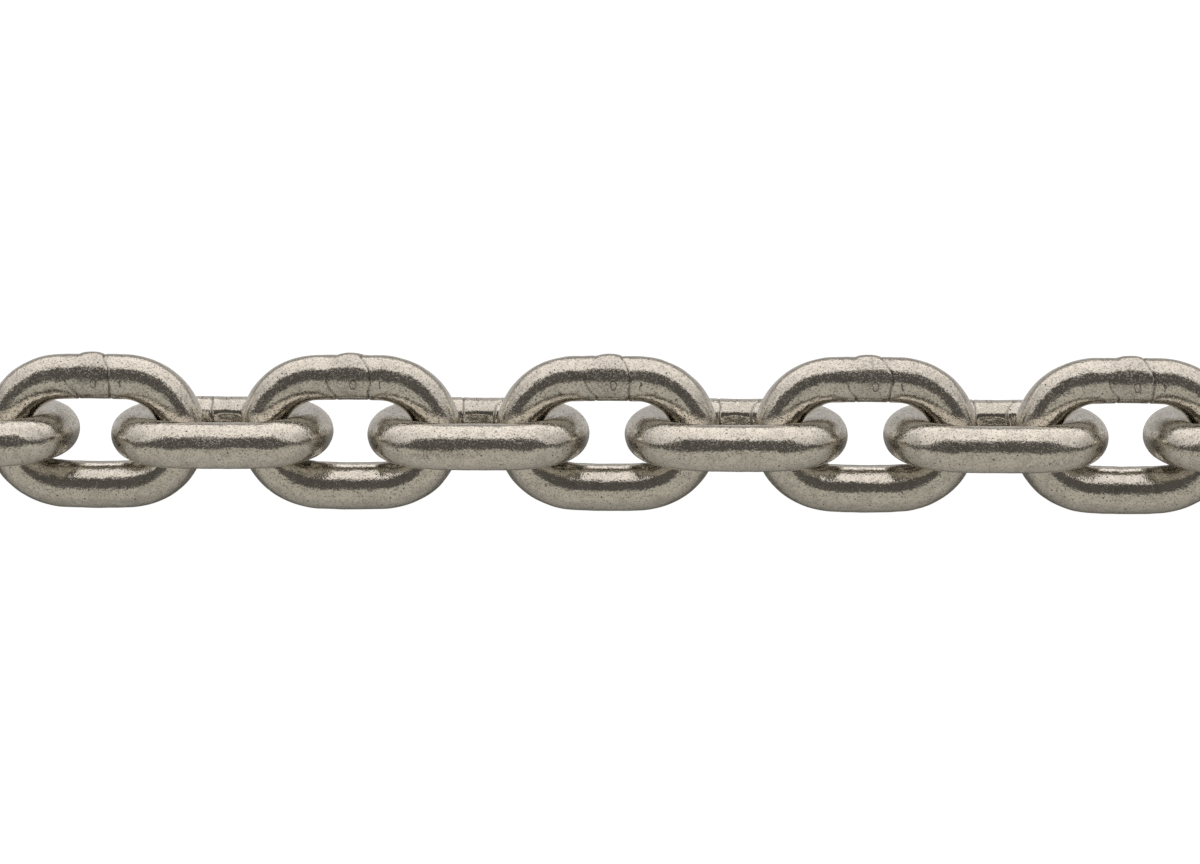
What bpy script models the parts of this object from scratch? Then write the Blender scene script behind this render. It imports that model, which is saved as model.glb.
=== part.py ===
"""One metre of short-link anchor chain, laid out straight on a level floor.

Each link is a round stainless bar bent into an oval ring, with its two ends welded
together halfway along one leg. Neighbouring links pass through each other a quarter turn
apart, and on a floor each one leans half a right angle, so that all of them rest on the
lower of their two legs.
"""
import math

import bmesh
import bpy

# Driving dimensions, in metres
LINK_COUNT = 35
BAR = 0.010
PITCH = 0.028
OUTER_WIDTH = 0.0345
CROWN_GAP = 0.00035

# The weld across the middle of one leg: proud on the outside, a little hollow on the inside
WELD_LENGTH = 0.008
WELD_CREST_LENGTH = 0.004
WELD_RISE_OUTSIDE = 0.0006
WELD_HOLLOW_INSIDE = 0.0003

# How finely the bar is divided
SECTION_SIDES = 12
CROWN_STEPS = 8
MERGE_DISTANCE = 0.00001
SHARP_ANGLE = math.radians(40)

# Sizes that follow from the ones above
BAR_RADIUS = BAR / 2
SECTION_STEP = 2 * math.pi / SECTION_SIDES
FLAT_CORNER_RADIUS = BAR_RADIUS / math.cos(SECTION_STEP / 2)
SIDES_PER_QUARTER = SECTION_SIDES // 4
INNER_LENGTH = PITCH + CROWN_GAP
OUTER_LENGTH = INNER_LENGTH + 2 * BAR
CROWN_RADIUS = (OUTER_WIDTH - BAR) / 2
STRAIGHT = OUTER_LENGTH - OUTER_WIDTH
CROWN_REACH = OUTER_LENGTH / 2 - BAR_RADIUS
LEAN = math.radians(45)
QUARTER_TURN = math.radians(90)
AXIS_HEIGHT = CROWN_RADIUS * math.sin(LEAN) + BAR_RADIUS
MIDDLE = LINK_COUNT // 2

STEEL_COLOUR = (0.56, 0.53, 0.48, 1.0)
STEEL_ROUGHNESS = 0.28


def clear_scene():
    """Remove whatever the open file holds."""
    for old in list(bpy.data.objects):
        bpy.data.objects.remove(old, do_unlink=True)


def stainless_steel():
    """Tumbled stainless bar: warm grey and half bright."""
    steel = bpy.data.materials.new("stainless_steel")
    steel.use_nodes = True
    shader = steel.node_tree.nodes["Principled BSDF"]
    shader.inputs["Base Color"].default_value = STEEL_COLOUR
    shader.inputs["Metallic"].default_value = 1.0
    shader.inputs["Roughness"].default_value = STEEL_ROUGHNESS
    return steel


def bar_section(bm):
    """First ring of the bar, at the left end of the plain leg and square to it.

    The ring lies on the bar's radius where it meets the link's own plane and the plane
    across it. Beside the diagonals it lies a little further out, so that the flat between
    two such corners touches the round bar: those flats are what the chain stands on.
    """
    ring = []
    for side in range(SECTION_SIDES):
        angle = side * SECTION_STEP
        reach = BAR_RADIUS if side % SIDES_PER_QUARTER == 0 else FLAT_CORNER_RADIUS
        outward = CROWN_RADIUS + reach * math.cos(angle)
        ring.append(bm.verts.new((-STRAIGHT / 2, -outward, reach * math.sin(angle))))
    return [bm.edges.new((ring[side - 1], ring[side])) for side in range(SECTION_SIDES)]


def edges_of(geometry):
    """The edges among the elements that an operator returns."""
    return [item for item in geometry if isinstance(item, bmesh.types.BMEdge)]


def draw_leg(bm, edges, distance):
    """Carry the bar straight on along X."""
    drawn = bmesh.ops.extrude_edge_only(bm, edges=edges)["geom"]
    points = [item for item in drawn if isinstance(item, bmesh.types.BMVert)]
    bmesh.ops.translate(bm, verts=points, vec=(distance, 0, 0))
    return edges_of(drawn)


def bend_crown(bm, edges, centre_x):
    """Bend the bar half a turn round the crown's centre."""
    bent = bmesh.ops.spin(
        bm,
        geom=edges,
        cent=(centre_x, 0, 0),
        axis=(0, 0, 1),
        angle=math.pi,
        steps=CROWN_STEPS,
    )
    return edges_of(bent["geom_last"])


def shape_weld(edges):
    """Push a ring of the welded leg outwards, more at its outer line than at its inner line."""
    points = {point for edge in edges for point in edge.verts}
    max(points, key=lambda point: point.co.y).co.y += WELD_RISE_OUTSIDE
    min(points, key=lambda point: point.co.y).co.y += WELD_HOLLOW_INSIDE


def draw_welded_leg(bm, edges):
    """Carry the bar back along the second leg, over the foot and crest of its weld."""
    ramp = (WELD_LENGTH - WELD_CREST_LENGTH) / 2
    plain = (STRAIGHT - WELD_LENGTH) / 2
    foot = draw_leg(bm, edges, -plain)
    crest_start = draw_leg(bm, foot, -ramp)
    crest_end = draw_leg(bm, crest_start, -WELD_CREST_LENGTH)
    foot = draw_leg(bm, crest_end, -ramp)
    shape_weld(crest_start)
    shape_weld(crest_end)
    return draw_leg(bm, foot, -plain)


def link_mesh(steel):
    """The oval ring, centred on its own origin: long along X, its weld in the leg at +Y."""
    bm = bmesh.new()
    ring = bar_section(bm)
    ring = draw_leg(bm, ring, STRAIGHT)
    ring = bend_crown(bm, ring, STRAIGHT / 2)
    ring = draw_welded_leg(bm, ring)
    bend_crown(bm, ring, -STRAIGHT / 2)
    bmesh.ops.remove_doubles(bm, verts=bm.verts, dist=MERGE_DISTANCE)
    bmesh.ops.recalc_face_normals(bm, faces=bm.faces)
    mesh = bpy.data.meshes.new("link")
    bm.to_mesh(mesh)
    bm.free()
    mesh.shade_smooth()
    mesh.set_sharp_from_angle(angle=SHARP_ANGLE)
    mesh.materials.append(steel)
    return mesh


def add_object(name, data):
    """Put a named object into the scene; with no data it is an empty."""
    added = bpy.data.objects.new(name, data)
    bpy.context.scene.collection.objects.link(added)
    return added


def node_name(index):
    return f"link_{index + 1:02d}"


def lay_middle_link(mesh):
    """The link that the two arms of the chain spread from."""
    link = add_object(node_name(MIDDLE), mesh)
    link.location = (0, 0, AXIS_HEIGHT)
    link.rotation_euler = (LEAN, 0, 0)
    return link


def hang_link(index, side, carrier, mesh):
    """One more link on the carrier's crown, side +1 towards +X and -1 towards -X.

    It swings about the bar of its own crown, so an empty marks that bar's middle and holds
    the quarter turn between the two links. The empty's Y axis is the pivot's axis.
    """
    near, far = sorted((index, index - side))
    pivot = add_object(f"pivot_{near + 1:02d}_{far + 1:02d}", None)
    pivot.empty_display_size = BAR_RADIUS
    pivot.parent = carrier
    pivot.location = (side * (PITCH - CROWN_REACH), 0, 0)
    turn = QUARTER_TURN if (index - MIDDLE) % 2 == 0 else -QUARTER_TURN
    pivot.rotation_euler = (turn, 0, 0)
    link = add_object(node_name(index), mesh)
    link.parent = pivot
    link.location = (side * CROWN_REACH, 0, 0)
    return link


def lay_chain():
    """All the links in a line along X, about the middle one."""
    mesh = link_mesh(stainless_steel())
    middle = lay_middle_link(mesh)
    for side in (-1, 1):
        carrier = middle
        for step in range(1, MIDDLE + 1):
            carrier = hang_link(MIDDLE + side * step, side, carrier, mesh)


clear_scene()
lay_chain()
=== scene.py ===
"""A metre of short-link anchor chain in tumbled stainless steel, laid straight on a pale floor."""
import math

import bpy
import numpy as np
from mathutils import Matrix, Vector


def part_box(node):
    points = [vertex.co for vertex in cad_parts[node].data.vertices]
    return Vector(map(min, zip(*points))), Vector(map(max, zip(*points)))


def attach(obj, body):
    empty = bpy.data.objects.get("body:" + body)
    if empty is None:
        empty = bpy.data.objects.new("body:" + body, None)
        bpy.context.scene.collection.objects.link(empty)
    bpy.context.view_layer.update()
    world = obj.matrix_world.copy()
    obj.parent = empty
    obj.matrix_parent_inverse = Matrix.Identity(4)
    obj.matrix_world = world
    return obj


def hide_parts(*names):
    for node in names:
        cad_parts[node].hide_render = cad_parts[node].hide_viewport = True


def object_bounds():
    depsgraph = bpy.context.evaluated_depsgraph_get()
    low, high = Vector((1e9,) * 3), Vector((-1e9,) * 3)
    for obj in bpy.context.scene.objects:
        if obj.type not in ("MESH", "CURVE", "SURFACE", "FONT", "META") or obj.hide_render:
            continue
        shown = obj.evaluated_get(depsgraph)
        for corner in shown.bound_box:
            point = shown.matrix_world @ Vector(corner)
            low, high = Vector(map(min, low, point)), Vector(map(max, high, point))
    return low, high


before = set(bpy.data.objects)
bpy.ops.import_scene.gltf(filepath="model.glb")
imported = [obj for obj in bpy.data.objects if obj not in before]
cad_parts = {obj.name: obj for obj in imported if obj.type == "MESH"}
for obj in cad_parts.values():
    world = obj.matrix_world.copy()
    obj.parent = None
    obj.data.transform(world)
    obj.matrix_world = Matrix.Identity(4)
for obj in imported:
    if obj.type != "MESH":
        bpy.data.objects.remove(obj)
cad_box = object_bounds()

# The bar
# Every link starts as a cut length of round stainless bar, bent cold round two crowns until
# its ends meet halfway along one leg. All of its measures follow from one link of the frame.
LINK_NODES = sorted(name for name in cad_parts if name.startswith("link_"))
MIDDLE = len(LINK_NODES) // 2
BAR_RADIUS = 0.005
LEAN = math.radians(45)
link_low, link_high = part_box(LINK_NODES[MIDDLE])
LINK_LENGTH = link_high[0] - link_low[0]
AXIS_HEIGHT = (link_high[2] + link_low[2]) / 2
CROWN_RADIUS = (AXIS_HEIGHT - BAR_RADIUS) / math.sin(LEAN)
HALF_STRAIGHT = LINK_LENGTH / 2 - CROWN_RADIUS - BAR_RADIUS
CROWN_ARC = math.pi * CROWN_RADIUS
BAR_LENGTH = 4 * HALF_STRAIGHT + 2 * CROWN_ARC

# How finely a link is drawn: rings along the bar, closer together at the weld
RINGS = 288
SIDES = 48
FINE_SHARE = 4.0
FINE_FADES = (0.0065, 0.00845)
DENSITY_SAMPLES = 4000


def smooth_step(low, high, value):
    """0 below low, 1 above high, and 3t^2 - 2t^3 of the share t of the way between them."""
    share = np.clip((value - low) / (high - low), 0, 1)
    return share * share * (3 - 2 * share)


def bell(value, width):
    """1 at zero, falling off on both sides as exp(-(value / width)^2)."""
    return np.exp(-(value / width) ** 2)


def bar_line(along):
    """Where the bar's centre line runs, at the distance along it from the middle of the weld.

    A core point slides along the link's middle line by half a straight, and back by a whole
    one, while a radius turns about it by half a turn at each crown. The centre line is the
    radius' end: core + R (sin turn, cos turn), with x along the link and w towards the weld.
    """
    first_crown = HALF_STRAIGHT
    plain_leg = first_crown + CROWN_ARC
    second_crown = plain_leg + 2 * HALF_STRAIGHT
    last_straight = second_crown + CROWN_ARC
    turn = np.clip(along - first_crown, 0, CROWN_ARC) / CROWN_RADIUS
    turn = turn + np.clip(along - second_crown, 0, CROWN_ARC) / CROWN_RADIUS
    core = np.clip(along, 0, HALF_STRAIGHT)
    core = core - np.clip(along - plain_leg, 0, 2 * HALF_STRAIGHT)
    core = core + np.clip(along - last_straight, 0, HALF_STRAIGHT)
    return core, turn


def ring_places():
    """Distances of the rings along the bar: equal shares of the integral of their density."""
    along = np.linspace(0, BAR_LENGTH, DENSITY_SAMPLES)
    to_weld = np.minimum(along, BAR_LENGTH - along)
    density = 1 + (FINE_SHARE - 1) * (1 - smooth_step(*FINE_FADES, to_weld))
    filled = np.concatenate([[0], np.cumsum((density[1:] + density[:-1]) / 2)])
    return np.interp(np.arange(RINGS) / RINGS * filled[-1], filled, along)


# The weld
# The ends are butt-welded and squeezed by the dies: a low dome stands proud on the outer
# line, its faces are pressed flat beside it, and the inner line is left slightly hollow.
WELD_DRIFT = 0.0007
DOME_RISE = 0.00050
SHELF_DEPTH = 0.00014
SHELF_STARTS = (0.75, 1.05)
SHELF_ENDS = (1.05, 2.2)
HOLLOW_DEPTH = 0.00045
HOLLOW_STARTS = (2.60, 2.88)

# Its ends: distances from its middle, and angles round the bar from the outer line
LEFT_END = -0.0030
RIGHT_END = 0.0026
SWELL = 0.0019
SWELL_ANGLES = (0.15, 1.25)
LEFT_DRAWN_IN = 0.0020
RIGHT_DRAWN_IN = 0.0004
DRAWN_IN_ANGLES = (1.5, 2.4)
SWAY_PERIODS_AND_WIDTHS = ((3, 0.00015), (7, 0.00010))
SWAY_PHASE = 6

# The seams at its ends, with the least strength and the angles first for the left one
SEAM_DEPTH = 0.00020
SEAM_WIDTH = 0.00020
SEAM_FAINTEST = (0.15, 0.7)
SEAM_CLEARS = ((1.1, 1.7), (0.1, 0.9))


def weld_ends(around, draw):
    """Where the weld ends on its left and right, in metres from its middle, round the bar.

    It is shortest at the outer line and swells by a smooth step over the first radian. By
    another one it draws in again towards the inner line, more on the left. Both ends sway
    by two sine waves.
    """
    angle = np.abs(around)
    sway = 0
    for periods, width in SWAY_PERIODS_AND_WIDTHS:
        sway = sway + width * np.sin(periods * around + draw.uniform(0, SWAY_PHASE))
    swell = SWELL * smooth_step(*SWELL_ANGLES, angle)
    drawn_in = smooth_step(*DRAWN_IN_ANGLES, angle)
    left = LEFT_END - swell + LEFT_DRAWN_IN * drawn_in + sway
    right = RIGHT_END + swell - RIGHT_DRAWN_IN * drawn_in + sway
    return left, right


def seam_lines(along, around, ends):
    """1 on each line where the weld ends, falling off beside it as a bell.

    A seam is faint at the outer line and clears by a smooth step over its own angles.
    """
    lines = 0
    for end, faintest, clears in zip(ends, SEAM_FAINTEST, SEAM_CLEARS):
        strength = faintest + (1 - faintest) * smooth_step(*clears, np.abs(around))
        lines = lines + strength * bell(along - end, SEAM_WIDTH)
    return lines


def weld_relief(along, around, ends):
    """Height over the round bar near the weld.

    Across the bar the dome is cos^2 of twice the angle from the outer line, out to an eighth
    turn. Past it smooth steps let a shelf in and out, and another one the hollow at the
    inner line. Along the bar they fade by 1 - d^2.5 or 1 - d^2, where d is the share of the
    way from the weld's middle to its end, and the seams are grooves there.
    """
    left, right = ends
    angle = np.abs(around)
    middle = (right + left) / 2
    share = np.clip(np.abs(along - middle) / (right - middle), 0, 1)
    dome = np.where(angle < math.pi / 4, np.cos(2 * angle) ** 2, 0)
    shelf = smooth_step(*SHELF_STARTS, angle) * (1 - smooth_step(*SHELF_ENDS, angle))
    height = (DOME_RISE * dome - SHELF_DEPTH * shelf) * (1 - share ** 2.5)
    height = height - HOLLOW_DEPTH * smooth_step(*HOLLOW_STARTS, angle) * (1 - share ** 2)
    return height - SEAM_DEPTH * seam_lines(along, around, ends)


# The legs
# Bending leaves both legs slightly bowed, so that they sink towards the crowns. The mandrel
# presses the plain leg flat beside its inner line and thins the welded leg along it.
PLAIN_BOW = 0.00026
WELDED_BOW = 0.00012
BOW_PLACE = 0.0105
BOW_REACH = 0.0055
LEG_FADES = (0.0085, 0.0125)
RIDGE_RISE = 0.00038
RIDGE_ANGLE = 3.05
RIDGE_WIDTH = 0.42
FLUTE_DEPTH = 0.00009
FLUTE_ANGLE = 2.30
FLUTE_WIDTH = 0.27
THINNED = 0.00018
THINNED_STARTS = (2.6, 2.9)


def bowed_legs(along):
    """How far the centre line sinks: a bell centred a little way into each crown."""
    to_weld = np.minimum(along, BAR_LENGTH - along)
    to_middle = np.minimum(to_weld, BAR_LENGTH / 2 - to_weld)
    depth = np.where(to_weld < BAR_LENGTH / 4, WELDED_BOW, PLAIN_BOW)
    return depth * bell(to_middle - BOW_PLACE, BOW_REACH)


def pressed_legs(to_weld, around):
    """Height over the round bar along both legs, fading by a smooth step at their ends.

    Across the plain leg it is a bell-shaped ridge at the inner line less a bell-shaped flute
    beside it. Across the welded leg a smooth step sinks the inner line.
    """
    angle = np.abs(around)
    to_weld = np.abs(to_weld)
    on_welded_leg = 1 - smooth_step(*LEG_FADES, to_weld)
    on_plain_leg = 1 - smooth_step(*LEG_FADES, BAR_LENGTH / 2 - to_weld)
    ridge = RIDGE_RISE * bell(angle - RIDGE_ANGLE, RIDGE_WIDTH)
    flute = FLUTE_DEPTH * bell(angle - FLUTE_ANGLE, FLUTE_WIDTH)
    thinning = THINNED * smooth_step(*THINNED_STARTS, angle)
    return on_plain_leg * (ridge - flute) - on_welded_leg * thinning


# Wear
# Bending, tumbling and handling leave the bar slightly uneven: long soft waves, and small
# round dents and scratched patches from the other links.
WAVE_COUNT = 26
WAVE_HEIGHT = 0.000004
WAVES_ROUND_LOOP = (3, 34)
WAVES_ROUND_BAR = (-7, 8)
DENT_COUNT = 60
DENT_DEPTH = 0.00008
DENT_SHALLOWEST = 0.3
DENT_SMALLEST = 0.0004
DENT_GROWTH = 0.0008
SCUFF_COUNT = 4
SCUFF_PLACES = (0.15, 0.85)
SCUFF_LENGTH = 0.0035
SCUFF_ANGLE = 0.16


def soft_waves(along, around, draw):
    """A sum of sine waves with whole numbers of periods round the loop and round the bar."""
    total = 0
    for _ in range(WAVE_COUNT):
        round_loop = draw.integers(*WAVES_ROUND_LOOP)
        round_bar = draw.integers(*WAVES_ROUND_BAR)
        phase = 2 * math.pi * round_loop * along / BAR_LENGTH + draw.uniform(0, 2 * math.pi)
        total = total + np.sin(phase + round_bar * around)
    return WAVE_HEIGHT * total


def dents(along, around, draw):
    """Shallow bell-shaped hollows, scattered over the bar, the large ones rarer."""
    total = 0
    for _ in range(DENT_COUNT):
        centre = draw.uniform(0, BAR_LENGTH)
        angle = draw.uniform(-math.pi, math.pi)
        size = DENT_SMALLEST + DENT_GROWTH * draw.uniform() ** 3
        depth = DENT_DEPTH * draw.uniform(DENT_SHALLOWEST, 1.0)
        run = (along - centre + BAR_LENGTH / 2) % BAR_LENGTH - BAR_LENGTH / 2
        turn = (around - angle + math.pi) % (2 * math.pi) - math.pi
        total = total + depth * bell(run, size) * bell(BAR_RADIUS * turn, size)
    return -total


def scuffs(along, around, draw):
    """Long patches scratched by the neighbours: a bell along the bar times a bell across it."""
    total = 0
    for _ in range(SCUFF_COUNT):
        run = along - draw.uniform(*SCUFF_PLACES) * BAR_LENGTH
        turn = (around - draw.uniform(-math.pi, math.pi) + math.pi) % (2 * math.pi) - math.pi
        total = total + bell(run, SCUFF_LENGTH) * bell(turn, SCUFF_ANGLE)
    return total


# The steel
# Stainless bar, pickled and tumbled: half bright, warm grey, with a fine grain, frosted
# specks and small dark pits. The weld is scored by the dies and tinted by the heat.
BRIGHT_STEEL = (0.78, 0.741, 0.672, 1)
DULL_STEEL = (0.53, 0.506, 0.457, 1)
PIT_COLOUR = (0.09, 0.085, 0.08, 1)
SEAM_COLOUR = (0.14, 0.13, 0.115, 1)
HEAT_TINT = (0.52, 0.49, 0.455, 1)

# Scale and detail of each noise, and how high it and the pits stand in the bump
GRAIN_NOISE = (2700, 1.0)
MOTTLE_NOISE = (900, 2.0)
TONE_NOISE = (260, 3.0)
NOISE_ROUGHNESS = 0.6
GRAIN_HEIGHT = 0.000030
MOTTLE_HEIGHT = 0.000050
PIT_DEPTH = 0.000050
BUMP_UNIT = 0.001

# Tones: how noise and specks add up to a shade, and the heat's share of the colour
SHADE_LEVELS = (0.24, 0.62)
SPECK_SHADE = -0.3
SHELTERED_SHADE = -0.2
TINT_LEVELS = (0.3, 0.7)
TINT_SHARE = (0.1, 0.5)

# Frost: roughness and metallic value of the polished steel and of the frosted specks
ROUGHNESS = (0.10, 0.50)
METAL_SHARE = (0.975, 0.77)
SPECK_LEVELS = (0.50, 0.68)
WELD_SPECKS = 0.04
SHELTERED_SPECKS = -0.10
SHELTERED_STARTS = (0.0085, 0.0120)

# Pits: a spot in about half of the cells, with its sizes in shares of a cell
PIT_CELLS = 1000
PIT_CHANCE = (0.45, 1.0)
PIT_LARGEST = 0.24
PIT_RIM = 0.10
PIT_FILLS = (0.5, 1.0)
PIT_FAINTEST = 0.4
PIT_SHADE = 0.92

# Scratches, seams and the marks of the dies, in metres where they are places
SCRATCH_LEVEL = 0.5
SCRATCH_WIDTH = 0.035
SCRATCH_SHADE = 0.8
SEAM_SHADE = 0.8
MARKS_START = (0.02, 0.1)
MARKS_WAVER = 0.0012
OVAL_PLACE = (0.0010, 0.0082)
OVAL_RADII = (0.00060, 0.00110)
OVAL_LINE = (0.10, 0.50)
NICK_PLACE = 0.0068
NICK_LINE = (0.00005, 0.00020)
NICK_ENDS = (0.7, 1.0)


def add_node(tree, kind, sockets=(), **settings):
    """Add a node, set its properties, and link or set each named or numbered input."""
    node = tree.nodes.new(kind)
    for name, value in settings.items():
        setattr(node, name, value)
    for socket, value in dict(sockets).items():
        if isinstance(value, bpy.types.NodeSocket):
            tree.links.new(value, node.inputs[socket])
        else:
            node.inputs[socket].default_value = value
    return node


def calculate(tree, operation, first, second=0.0, third=0.0):
    """One Math node."""
    sockets = {0: first, 1: second, 2: third}
    return add_node(tree, "ShaderNodeMath", sockets, operation=operation).outputs[0]


def ramp(tree, value, low, high, to_low=0.0, to_high=1.0):
    """Carry a value smoothly from one range to another."""
    sockets = {"Value": value, "From Min": low, "From Max": high, "To Min": to_low, "To Max": to_high}
    mapped = add_node(tree, "ShaderNodeMapRange", sockets, interpolation_type="SMOOTHSTEP")
    return mapped.outputs["Result"]


def blend_colours(tree, share, first, second):
    """Mix two colours."""
    mix = add_node(tree, "ShaderNodeMix", {"Factor": share}, data_type="RGBA")
    for socket, value in ((mix.inputs[6], first), (mix.inputs[7], second)):
        if isinstance(value, bpy.types.NodeSocket):
            tree.links.new(value, socket)
        else:
            socket.default_value = value
    return mix.outputs[2]


def mesh_value(tree, name):
    """A value that each link's mesh carries."""
    return add_node(tree, "ShaderNodeAttribute", attribute_name=name).outputs["Fac"]


def die_marks(tree, waver):
    """Lines left by the dies on both faces of the weld: a wavering oval, and a nick beside it.

    The mesh carries two distances: "to_weld" along the bar and "off_edge" round it, from its
    outer line. The oval is where the distance from its middle, each part over the oval's
    radius, is near 1. The nick is a short line across the bar.
    """
    along = calculate(tree, "SUBTRACT", mesh_value(tree, "to_weld"), MARKS_WAVER / 2)
    along = calculate(tree, "MULTIPLY_ADD", waver, MARKS_WAVER, along)
    run = calculate(tree, "SUBTRACT", along, OVAL_PLACE[0])
    run = calculate(tree, "DIVIDE", run, OVAL_RADII[0])
    rise = calculate(tree, "SUBTRACT", mesh_value(tree, "off_edge"), OVAL_PLACE[1])
    rise = calculate(tree, "DIVIDE", rise, OVAL_RADII[1])
    reach = calculate(tree, "MULTIPLY_ADD", run, run, calculate(tree, "MULTIPLY", rise, rise))
    off_oval = calculate(tree, "ABSOLUTE", calculate(tree, "SUBTRACT", reach, 1.0))
    oval = ramp(tree, off_oval, *OVAL_LINE, 1.0, 0.0)
    off_nick = calculate(tree, "ABSOLUTE", calculate(tree, "SUBTRACT", along, NICK_PLACE))
    nick = ramp(tree, off_nick, *NICK_LINE, 1.0, 0.0)
    off_middle = calculate(tree, "ABSOLUTE", rise)
    nick = calculate(tree, "MULTIPLY", nick, ramp(tree, off_middle, *NICK_ENDS, 1.0, 0.0))
    return calculate(tree, "MAXIMUM", oval, nick)


def tumbled_steel():
    """Metal whose tone, grain, pits and weld marks are noise in the link's own coordinates."""
    steel = bpy.data.materials.new("tumbled_steel")
    steel.use_nodes = True
    tree = steel.node_tree
    shader = tree.nodes["Principled BSDF"]
    place = add_node(tree, "ShaderNodeTexCoord").outputs["Object"]

    def noise(scale, detail):
        """Fractal noise on the link's own coordinates, from 0 to 1."""
        sockets = {"Vector": place, "Scale": scale, "Detail": detail, "Roughness": NOISE_ROUGHNESS}
        return add_node(tree, "ShaderNodeTexNoise", sockets).outputs["Fac"]

    grain = noise(*GRAIN_NOISE)
    mottle = noise(*MOTTLE_NOISE)
    tone = noise(*TONE_NOISE)
    weld = mesh_value(tree, "weld")

    # Pits are round spots in the middle of the cells, of a size drawn for each cell.
    cells = add_node(tree, "ShaderNodeTexVoronoi", {"Vector": place, "Scale": PIT_CELLS})
    chance = add_node(tree, "ShaderNodeSeparateColor", {0: cells.outputs["Color"]}).outputs[0]
    size = ramp(tree, chance, *PIT_CHANCE, 0.0, PIT_LARGEST)
    pit = ramp(tree, calculate(tree, "SUBTRACT", size, cells.outputs["Distance"]), 0.0, PIT_RIM)
    pit = calculate(tree, "MULTIPLY", pit, ramp(tree, chance, *PIT_FILLS, PIT_FAINTEST, 1.0))

    # Scratches follow the contour lines of the mottle, on the patches that the mesh carries.
    off_contour = calculate(tree, "ABSOLUTE", calculate(tree, "SUBTRACT", mottle, SCRATCH_LEVEL))
    lines = ramp(tree, off_contour, 0.0, SCRATCH_WIDTH, 1.0, 0.0)
    lines = calculate(tree, "MULTIPLY", lines, mesh_value(tree, "scored"))
    marks = calculate(tree, "MULTIPLY", die_marks(tree, mottle), ramp(tree, weld, *MARKS_START))
    lines = calculate(tree, "MAXIMUM", lines, marks)

    # Frosted specks between polished ones haze the reflections without blurring them. There
    # are few of them round the inner line, where nothing rubs in the tumbler: the specks stay
    # there as a darker tone alone.
    sheltered = ramp(tree, mesh_value(tree, "off_edge"), *SHELTERED_STARTS)
    speck = calculate(tree, "MULTIPLY_ADD", weld, WELD_SPECKS, grain)
    frost = calculate(tree, "MULTIPLY_ADD", sheltered, SHELTERED_SPECKS, speck)
    frost = ramp(tree, frost, *SPECK_LEVELS)
    speck = ramp(tree, speck, *SPECK_LEVELS)
    tree.links.new(ramp(tree, frost, 0.0, 1.0, *ROUGHNESS), shader.inputs["Roughness"])
    tree.links.new(ramp(tree, frost, 0.0, 1.0, *METAL_SHARE), shader.inputs["Metallic"])

    shade = calculate(tree, "MULTIPLY_ADD", tone, 0.5, calculate(tree, "MULTIPLY", mottle, 0.5))
    shade = calculate(tree, "MULTIPLY_ADD", speck, SPECK_SHADE, shade)
    dark_speck = calculate(tree, "MULTIPLY", speck, sheltered)
    shade = calculate(tree, "MULTIPLY_ADD", dark_speck, SHELTERED_SHADE, shade)
    colour = blend_colours(tree, ramp(tree, shade, *SHADE_LEVELS), DULL_STEEL, BRIGHT_STEEL)
    tint = calculate(tree, "MULTIPLY", weld, ramp(tree, tone, *TINT_LEVELS, *TINT_SHARE))
    colour = blend_colours(tree, tint, colour, HEAT_TINT)
    colour = blend_colours(tree, calculate(tree, "MULTIPLY", pit, PIT_SHADE), colour, PIT_COLOUR)
    colour = blend_colours(tree, calculate(tree, "MULTIPLY", lines, SCRATCH_SHADE), colour, PIT_COLOUR)
    seam = calculate(tree, "MULTIPLY", mesh_value(tree, "seam"), SEAM_SHADE)
    colour = blend_colours(tree, seam, colour, SEAM_COLOUR)
    tree.links.new(colour, shader.inputs["Base Color"])

    height = calculate(tree, "MULTIPLY", grain, GRAIN_HEIGHT / BUMP_UNIT)
    height = calculate(tree, "MULTIPLY_ADD", mottle, MOTTLE_HEIGHT / BUMP_UNIT, height)
    height = calculate(tree, "MULTIPLY_ADD", pit, -PIT_DEPTH / BUMP_UNIT, height)
    height = calculate(tree, "MULTIPLY_ADD", lines, -PIT_DEPTH / BUMP_UNIT, height)
    bump = add_node(tree, "ShaderNodeBump", {"Height": height, "Strength": 1.0, "Distance": BUMP_UNIT})
    tree.links.new(bump.outputs["Normal"], shader.inputs["Normal"])
    return steel


# The links
# Thirty-five alike, each hung in its neighbours' eyes a quarter turn from them. On the floor
# they lean half a right angle, so the welds lie at the back, high on one and low on the next.
PITCH = (cad_box[1][0] - cad_box[0][0] - LINK_LENGTH) / (len(LINK_NODES) - 1)
FIRST_SEED = 100
HEAT_REACH = 0.0055
STRUCK_SHARE = 0.5
STRUCK_REACH = 0.003
STRUCK_ANGLE = 1.9
STRUCK_WIDTH = 0.5


def facing(index):
    """1 for the middle link and every second one from it, -1 for those between."""
    return 1 if (index - MIDDLE) % 2 == 0 else -1


def link_points(index, along, around, to_weld, ends, draw):
    """Points of the link: its bar swept along the centre line.

    A point is the centre line, plus the bar's radius and relief times the direction at its
    angle: cos(angle) outwards in the link's plane and sin(angle) across it. Last, nothing
    stands outside the box of the frame's own link: what would is worn flat there.
    """
    core, turn = bar_line(along)
    relief = weld_relief(to_weld, around, ends) + pressed_legs(to_weld, around)
    relief = relief + soft_waves(along, around, draw) + dents(along, around, draw)
    reach = CROWN_RADIUS - bowed_legs(along) + (BAR_RADIUS + relief) * np.cos(around)
    length = core + reach * np.sin(turn)
    width = reach * np.cos(turn)
    depth = (BAR_RADIUS + relief) * np.sin(around)
    lean = facing(index) * LEAN
    points = np.empty(length.shape + (3,))
    points[..., 0] = length + (index - MIDDLE) * PITCH
    points[..., 1] = width * math.cos(lean) - depth * math.sin(lean)
    points[..., 2] = width * math.sin(lean) + depth * math.cos(lean) + AXIS_HEIGHT
    low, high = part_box(LINK_NODES[index])
    return np.clip(points, low, high)


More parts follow.
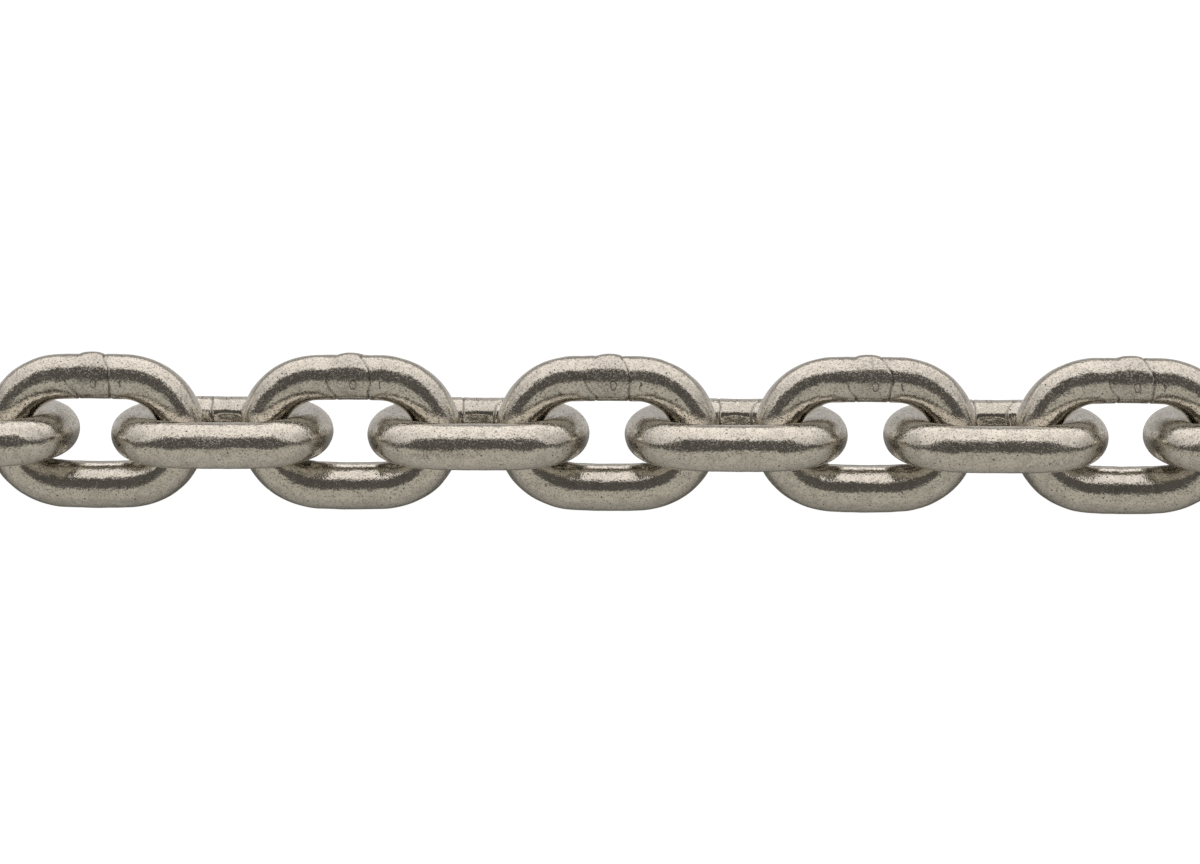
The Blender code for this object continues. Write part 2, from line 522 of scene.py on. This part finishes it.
def grid_faces():
    """Quads between ring i and i + 1, side j and j + 1, closing up both ways."""
    ring, side = np.meshgrid(np.arange(RINGS), np.arange(SIDES), indexing="ij")
    next_ring = (ring + 1) % RINGS
    next_side = (side + 1) % SIDES
    corners = [ring * SIDES + side, ring * SIDES + next_side,
               next_ring * SIDES + next_side, next_ring * SIDES + side]
    return np.stack(corners, axis=-1).reshape(-1, 4)


def make_link(index, steel):
    """One link as a closed grid, with its weld and the marks of the dies as attributes.

    Every other link was threaded the other way round, so its weld runs the other way.
    """
    draw = np.random.default_rng(FIRST_SEED + index)
    along = ring_places()[:, None]
    around = (np.arange(SIDES) / SIDES * 2 * math.pi)[None, :]
    around = (around + math.pi) % (2 * math.pi) - math.pi
    drift = draw.uniform(0, WELD_DRIFT)
    to_weld = (along - drift + BAR_LENGTH / 2) % BAR_LENGTH - BAR_LENGTH / 2
    to_weld = facing(index) * to_weld
    ends = weld_ends(around, draw)
    points = link_points(index, along, around, to_weld, ends, draw)
    mesh = bpy.data.meshes.new(f"dressed_{LINK_NODES[index]}")
    mesh.from_pydata(points.reshape(-1, 3), [], grid_faces())
    everywhere = np.ones_like(along * around)
    struck = bell(to_weld, STRUCK_REACH) * bell(np.abs(around) - STRUCK_ANGLE, STRUCK_WIDTH)
    carried = {
        "weld": bell(to_weld, HEAT_REACH) * everywhere,
        "seam": seam_lines(to_weld, around, ends),
        "scored": scuffs(along, around, draw) + STRUCK_SHARE * struck,
        "to_weld": to_weld * everywhere,
        "off_edge": BAR_RADIUS * np.abs(around) * everywhere,
    }
    for name, values in carried.items():
        attribute = mesh.attributes.new(name, "FLOAT", "POINT")
        attribute.data.foreach_set("value", values.ravel())
    mesh.materials.append(steel)
    mesh.shade_smooth()
    link = bpy.data.objects.new(f"dressed_{LINK_NODES[index]}", mesh)
    bpy.context.scene.collection.objects.link(link)
    return link


steel = tumbled_steel()
for index, node in enumerate(LINK_NODES):
    link = make_link(index, steel)
    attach(link, node)
    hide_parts(node)

# The floor
# A wide matt sheet, like the paper of a studio. The camera sees it evenly white. The chain sees its
# own colour, and in front of it and close behind it painted light: strips of the sheet that glow
# though no lamp lights them.
FLOOR_REACH = 12.0
FRONT_COLOUR = (0.62, 0.60, 0.54, 1)
BACK_COLOUR = (0.60, 0.60, 0.60, 1)
FRONT_FADES = (-0.017, -0.011)
FRONT_PAINTED_LIGHT = 0.17
BACK_STARTS = (0.008, 0.014)
BACK_FADES = (0.040, 0.090)
BACK_PAINTED_LIGHT = 0.24
GLOW_COLOUR = (1, 1, 1, 1)
SHOWN_GLOW = 0.98
SHOWN_COLOUR = (0.16, 0.16, 0.16, 1)


def pale_floor():
    """Matt white, warmer in front of the chain, with painted light glowing a little there and close
    behind it.

    To the camera the colour and the glow are even, so that the sheet looks like white paper.
    """
    paper = bpy.data.materials.new("pale_floor")
    paper.use_nodes = True
    tree = paper.node_tree
    shader = tree.nodes["Principled BSDF"]
    place = add_node(tree, "ShaderNodeTexCoord").outputs["Object"]
    away = add_node(tree, "ShaderNodeSeparateXYZ", {0: place}).outputs["Y"]
    # Painted light: the sheet glows in a strip in front of the chain and in another close behind it,
    # though no lamp is there.
    in_front = ramp(tree, away, *FRONT_FADES, FRONT_PAINTED_LIGHT, 0.0)
    behind = ramp(tree, away, *BACK_STARTS, 0.0, BACK_PAINTED_LIGHT)
    behind = calculate(tree, "MULTIPLY", behind, ramp(tree, away, *BACK_FADES, 1.0, 0.0))
    seen = add_node(tree, "ShaderNodeLightPath").outputs["Is Camera Ray"]
    colour = blend_colours(tree, ramp(tree, away, *FRONT_FADES), FRONT_COLOUR, BACK_COLOUR)
    tree.links.new(blend_colours(tree, seen, colour, SHOWN_COLOUR), shader.inputs["Base Color"])
    shader.inputs["Roughness"].default_value = 1.0
    shader.inputs["Specular IOR Level"].default_value = 0.0
    shader.inputs["Emission Color"].default_value = GLOW_COLOUR
    glow = calculate(tree, "ADD", in_front, behind)
    glow = add_node(tree, "ShaderNodeMix", {0: seen, 2: glow, 3: SHOWN_GLOW}).outputs[0]
    tree.links.new(glow, shader.inputs["Emission Strength"])
    return paper


floor_mesh = bpy.data.meshes.new("floor")
floor_mesh.from_pydata(
    [(-FLOOR_REACH, -FLOOR_REACH, 0), (FLOOR_REACH, -FLOOR_REACH, 0),
     (FLOOR_REACH, FLOOR_REACH, 0), (-FLOOR_REACH, FLOOR_REACH, 0)],
    [], [(0, 1, 2, 3)])
floor_mesh.materials.append(pale_floor())
floor = bpy.data.objects.new("floor", floor_mesh)
bpy.context.scene.collection.objects.link(floor)

# The light
# A studio with one wide soft light behind and over the chain, fading to both sides, a pale
# card standing in front, and a dark gap between them overhead.

# The soft light's brightness, by how far aside a direction points, from 0 to 1
SOFT_LIGHT = (
    (0.0, 1.10), (0.3, 1.06), (0.5, 1.0), (0.62, 0.96), (0.75, 0.83), (0.88, 0.69), (1.0, 0.42))
SOFT_EDGE = (math.radians(96), math.radians(106))
SOFT_RISE = (0.94, 1.08)
SOFT_WRAP = math.radians(34)
SOFT_WRAP_STARTS = (0.40, 0.95)
SOFT_TINT = (1.05, 1.0, 0.955, 1)
CARD_LIGHT = 0.48
CARD_TOP = (math.radians(43), math.radians(49))
CARD_SHOULDER = math.radians(11)
CARD_SHOULDER_STARTS = (0.08, 0.34)
CARD_SIDE = (math.radians(64), math.radians(74))
CARD_TINT = (1.04, 1.0, 0.885, 1)
GAP_LIGHT = 0.084
GAP_TINT = (1.06, 1.0, 0.91, 1)
SHOWN_LIGHT = 1.0
SHOWN_TINT = (1, 1, 1, 1)


def studio_light():
    """Brightness by direction, x to the right, y away behind the chain and z up.

    The tilt is the angle from the front over the top, and the swing the angle to the side.
    The soft light brightens smoothly from its edge to the horizon behind, and its edge comes
    forward at the sides. The card's top slopes down to its sides. The camera itself sees
    plain white.
    """
    world = bpy.data.worlds.new("studio")
    world.use_nodes = True
    tree = world.node_tree
    direction = add_node(tree, "ShaderNodeTexCoord").outputs["Generated"]
    right, back, up = add_node(tree, "ShaderNodeSeparateXYZ", {0: direction}).outputs
    aside = calculate(tree, "ABSOLUTE", right)
    front = calculate(tree, "MULTIPLY", back, -1.0)
    tilt = calculate(tree, "ARCTAN2", up, front)
    swing = calculate(tree, "ARCTAN2", aside, front)

    curve = add_node(tree, "ShaderNodeValToRGB", {0: aside})
    stops = curve.color_ramp.elements
    while len(stops) < len(SOFT_LIGHT):
        stops.new(0.5)
    brightest = SOFT_LIGHT[0][1]
    for stop, (place, value) in zip(stops, SOFT_LIGHT):
        stop.position = place
        stop.color = (value / brightest, value / brightest, value / brightest, 1)
    soft = calculate(tree, "MULTIPLY", curve.outputs["Color"], brightest)
    soft = calculate(tree, "MULTIPLY", soft, ramp(tree, tilt, SOFT_EDGE[1], math.pi, *SOFT_RISE))

    shoulder = ramp(tree, aside, *CARD_SHOULDER_STARTS, 0.0, CARD_SHOULDER)
    on_card = ramp(tree, calculate(tree, "ADD", tilt, shoulder), *CARD_TOP, 1.0, 0.0)
    on_card = calculate(tree, "MULTIPLY", on_card, ramp(tree, swing, *CARD_SIDE, 1.0, 0.0))
    wrap = ramp(tree, aside, *SOFT_WRAP_STARTS, 0.0, SOFT_WRAP)
    on_soft = ramp(tree, calculate(tree, "ADD", tilt, wrap), *SOFT_EDGE)
    seen = add_node(tree, "ShaderNodeLightPath").outputs["Is Camera Ray"]

    light = add_node(tree, "ShaderNodeMix", {0: on_card, 2: GAP_LIGHT, 3: CARD_LIGHT}).outputs[0]
    light = add_node(tree, "ShaderNodeMix", {0: on_soft, 2: light, 3: soft}).outputs[0]
    light = add_node(tree, "ShaderNodeMix", {0: seen, 2: light, 3: SHOWN_LIGHT}).outputs[0]
    tint = blend_colours(tree, on_card, GAP_TINT, CARD_TINT)
    tint = blend_colours(tree, on_soft, tint, SOFT_TINT)
    tint = blend_colours(tree, seen, tint, SHOWN_TINT)
    background = tree.nodes["Background"]
    tree.links.new(light, background.inputs["Strength"])
    tree.links.new(tint, background.inputs["Color"])
    return world


bpy.context.scene.world = studio_light()
bpy.context.scene.view_settings.view_transform = "Standard"

# The camera
# Above and in front of the chain, aimed close to the middle link, and rolled so that the
# chain runs level across the picture.
AZIMUTH = math.radians(4.2)
ELEVATION = math.radians(58.98)
ROLL = math.radians(-3.31)
DISTANCE = 0.600
LENS = 84.12
AIM = (-0.00118, -0.00451, 0.02189)
NEAREST_SEEN = 0.01


def studio_camera():
    """Place the camera by its direction from the aim, then roll it about that direction."""
    camera = bpy.data.objects.new("camera", bpy.data.cameras.new("camera"))
    back = np.array([math.sin(AZIMUTH) * math.cos(ELEVATION),
                     -math.cos(AZIMUTH) * math.cos(ELEVATION), math.sin(ELEVATION)])
    level = np.array([math.cos(AZIMUTH), math.sin(AZIMUTH), 0])
    upright = np.cross(back, level)
    right = math.cos(ROLL) * level + math.sin(ROLL) * upright
    up = np.cross(back, right)
    placed = np.eye(4)
    placed[:3, :] = np.column_stack([right, up, back, np.array(AIM) + DISTANCE * back])
    camera.matrix_world = Matrix(placed)
    camera.data.lens = LENS
    camera.data.clip_start = NEAREST_SEEN
    bpy.context.scene.collection.objects.link(camera)
    return camera


bpy.context.scene.camera = studio_camera()
